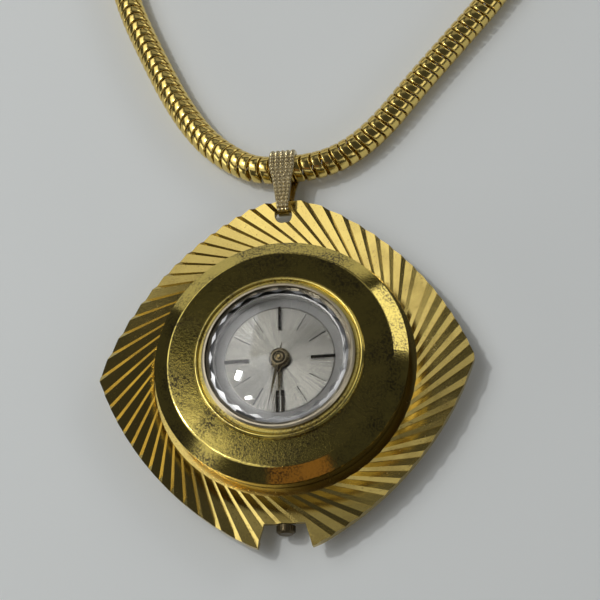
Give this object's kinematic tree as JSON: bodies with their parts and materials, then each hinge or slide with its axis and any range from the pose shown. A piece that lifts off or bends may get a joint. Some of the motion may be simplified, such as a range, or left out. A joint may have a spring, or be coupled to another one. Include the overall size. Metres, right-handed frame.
{
  "type": "pendant watch",
  "caption": "Hand wound watch in an eye shaped fluted frame, worn on a round snake chain that passes through a tapered strap bail; the crown sits in a notch at the bottom.",
  "frame": {"origin": "middle of the flat case back, on the surface that the watch lies on", "axes": "+Z out of the dial, -Y towards twelve o'clock and the crown, +Y towards the bail, +X to the right when the bail points away"},
  "size_m": [0.0603, 0.1378, 0.009],
  "materials": {
    "gold": "polished",
    "pale_gold": "polished",
    "dark_gold": "satin",
    "brass": "satin",
    "polished_steel": "polished",
    "blued_steel": "gloss",
    "nickel": "satin",
    "dial": "satin",
    "crystal": "polished",
    "gasket": "matte",
    "ruby": "gloss"
  },
  "bodies": {
    "case": {"frame_plate": "pale_gold", "case_band": "gold", "case_back": "gold", "bezel": "gold", "crystal": "crystal", "crystal_gasket": "gasket", "dial": "dial", "hour_bars": "polished_steel", "movement_ring": "brass", "main_plate": "nickel", "barrel_bridge": "nickel", "train_bridge": "nickel", "balance_cock": "nickel", "pallet_bridge": "nickel", "bridge_screws": "blued_steel", "jewels": "ruby", "crown_wheel_core": "polished_steel", "click_spring": "polished_steel", "stem_tube": "brass", "hairspring": "blued_steel", "hairspring_stud": "polished_steel"},
    "minute_body": {"cannon_pinion": "polished_steel", "minute_hand": "polished_steel"},
    "minute_wheel_body": {"minute_wheel": "brass"},
    "hour_body": {"hour_wheel": "brass", "hour_hand": "polished_steel"},
    "setting_wheel_body": {"setting_wheel": "polished_steel"},
    "fourth_body": {"fourth_wheel": "brass"},
    "escape_body": {"escape_wheel": "polished_steel"},
    "third_body": {"third_wheel": "brass"},
    "center_body": {"center_wheel": "brass"},
    "barrel_body": {"barrel": "brass", "barrel_cover": "brass", "mainspring": "polished_steel"},
    "fork_body": {"pallet_fork": "polished_steel"},
    "balance_body": {"balance_wheel": "brass"},
    "winding_body": {"winding_pinion": "polished_steel"},
    "crown_body": {"crown": "dark_gold", "winding_stem": "polished_steel"},
    "clutch_body": {"sliding_clutch": "polished_steel"},
    "crown_wheel_body": {"crown_wheel": "polished_steel"},
    "ratchet_body": {"ratchet_wheel": "polished_steel", "barrel_arbor": "polished_steel", "ratchet_screw": "blued_steel"},
    "setting_lever_body": {"setting_lever": "polished_steel"},
    "yoke_body": {"yoke": "polished_steel"},
    "click_body": {"click": "polished_steel"},
    "regulator_body": {"regulator": "polished_steel"},
    "bail_body": {"bail": "pale_gold"},
    "chain_body": {"chain_left": "dark_gold", "chain_coil": "dark_gold", "chain_right": "dark_gold", "coil_cap": "gold", "strand_cap": "gold", "clasp_link": "gold", "clasp_hook": "gold"}
  },
  "joints": [
    {"name": "minute_hand_turn", "type": "hinge", "parent": "case", "child": "minute_body", "pos_m": [0, 0, 0.0064], "axis": [0, 0, 1], "continuous": true},
    {"name": "minute_wheel_turn", "type": "hinge", "parent": "case", "child": "minute_wheel_body", "pos_m": [0.0012, -0.0016, 0.0043], "axis": [0, 0, 1], "continuous": true},
    {"name": "hour_hand_turn", "type": "hinge", "parent": "case", "child": "hour_body", "pos_m": [0, 0, 0.006], "axis": [0, 0, 1], "continuous": true},
    {"name": "setting_wheel_turn", "type": "hinge", "parent": "case", "child": "setting_wheel_body", "pos_m": [0.0006, -0.00382, 0.0043], "axis": [0, 0, 1], "continuous": true},
    {"name": "fourth_wheel_turn", "type": "hinge", "parent": "case", "child": "fourth_body", "pos_m": [0.00374, 0.00152, 0.0022], "axis": [0, 0, 1], "continuous": true},
    {"name": "escape_wheel_turn", "type": "hinge", "parent": "case", "child": "escape_body", "pos_m": [0.0025, 0.00366, 0.0025], "axis": [0, 0, 1], "continuous": true},
    {"name": "third_wheel_turn", "type": "hinge", "parent": "case", "child": "third_body", "pos_m": [0.00304, -0.00111, 0.0019], "axis": [0, 0, 1], "continuous": true},
    {"name": "center_wheel_turn", "type": "hinge", "parent": "case", "child": "center_body", "pos_m": [0, 0, 0.0016], "axis": [0, 0, 1], "continuous": true},
    {"name": "barrel_turn", "type": "hinge", "parent": "case", "child": "barrel_body", "pos_m": [-0.00364, -0.0017, 0.0023], "axis": [0, 0, 1], "continuous": true},
    {"name": "pallet_fork_swing", "type": "hinge", "parent": "case", "child": "fork_body", "pos_m": [0.0012, 0.00475, 0.0025], "axis": [0, 0, 1], "range_deg": [-5, 5]},
    {"name": "balance_swing", "type": "hinge", "parent": "case", "child": "balance_body", "pos_m": [-0.0016, 0.0049, 0.0021], "axis": [0, 0, 1], "range_deg": [-150, 85]},
    {"name": "crown_turn", "type": "hinge", "parent": "case", "child": "winding_body", "pos_m": [0, -0.0065, 0.00213], "axis": [0, -1, 0], "continuous": true},
    {"name": "crown_pull", "type": "slide", "parent": "winding_body", "child": "crown_body", "axis": [0, -1, 0], "range_m": [0, 0.0008]},
    {"name": "clutch_shift", "type": "slide", "parent": "winding_body", "child": "clutch_body", "axis": [0, -1, 0], "range_m": [-0.0006, 0]},
    {"name": "crown_wheel_turn", "type": "hinge", "parent": "case", "child": "crown_wheel_body", "pos_m": [0, -0.0045, 0.0008], "axis": [0, 0, 1], "continuous": true},
    {"name": "ratchet_turn", "type": "hinge", "parent": "case", "child": "ratchet_body", "pos_m": [-0.00364, -0.0017, 0.0008], "axis": [0, 0, 1], "continuous": true},
    {"name": "setting_lever_swing", "type": "hinge", "parent": "case", "child": "setting_lever_body", "pos_m": [0.0017, -0.0076, 0.0021], "axis": [0, 0, 1], "range_deg": [0, 32]},
    {"name": "yoke_swing", "type": "hinge", "parent": "case", "child": "yoke_body", "pos_m": [0.0022, -0.0052, 0.0021], "axis": [0, 0, 1], "range_deg": [-20.2, 0]},
    {"name": "click_swing", "type": "hinge", "parent": "case", "child": "click_body", "pos_m": [-0.00432, 0.00214, 0.0009], "axis": [0, 0, 1], "range_deg": [-12, 0]},
    {"name": "regulator_turn", "type": "hinge", "parent": "case", "child": "regulator_body", "pos_m": [-0.0016, 0.0049, 0.0009], "axis": [0, 0, 1], "range_deg": [-15, 15]},
    {"name": "bail_swing", "type": "hinge", "parent": "case", "child": "bail_body", "pos_m": [0, 0.02165, 0.00278], "axis": [1, 0, 0], "range_deg": [0, 90]},
    {"name": "chain_swing", "type": "hinge", "parent": "bail_body", "child": "chain_body", "pos_m": [0, 0.0269, 0.00228], "axis": [1, 0, 0], "range_deg": [-90, 0]}
  ],
  "couplings": [
    {"joint": "minute_wheel_turn", "follows": "minute_hand_turn", "ratio": -0.33333},
    {"joint": "hour_hand_turn", "follows": "minute_hand_turn", "ratio": 0.083333},
    {"joint": "setting_wheel_turn", "follows": "minute_hand_turn", "ratio": 0.625},
    {"joint": "escape_wheel_turn", "follows": "fourth_wheel_turn", "ratio": -10},
    {"joint": "third_wheel_turn", "follows": "fourth_wheel_turn", "ratio": -0.13333},
    {"joint": "center_wheel_turn", "follows": "fourth_wheel_turn", "ratio": 0.016667},
    {"joint": "barrel_turn", "follows": "fourth_wheel_turn", "ratio": -0.0027778},
    {"joint": "clutch_shift", "follows": "crown_pull", "ratio": -0.75},
    {"joint": "crown_wheel_turn", "follows": "crown_turn", "ratio": 0.66667},
    {"joint": "ratchet_turn", "follows": "crown_turn", "ratio": -0.36364},
    {"joint": "setting_lever_swing", "follows": "crown_pull", "rad_per_m": 695.75},
    {"joint": "yoke_swing", "follows": "crown_pull", "rad_per_m": -436.68},
    {"joint": "chain_swing", "follows": "bail_swing", "ratio": -1}
  ]
}
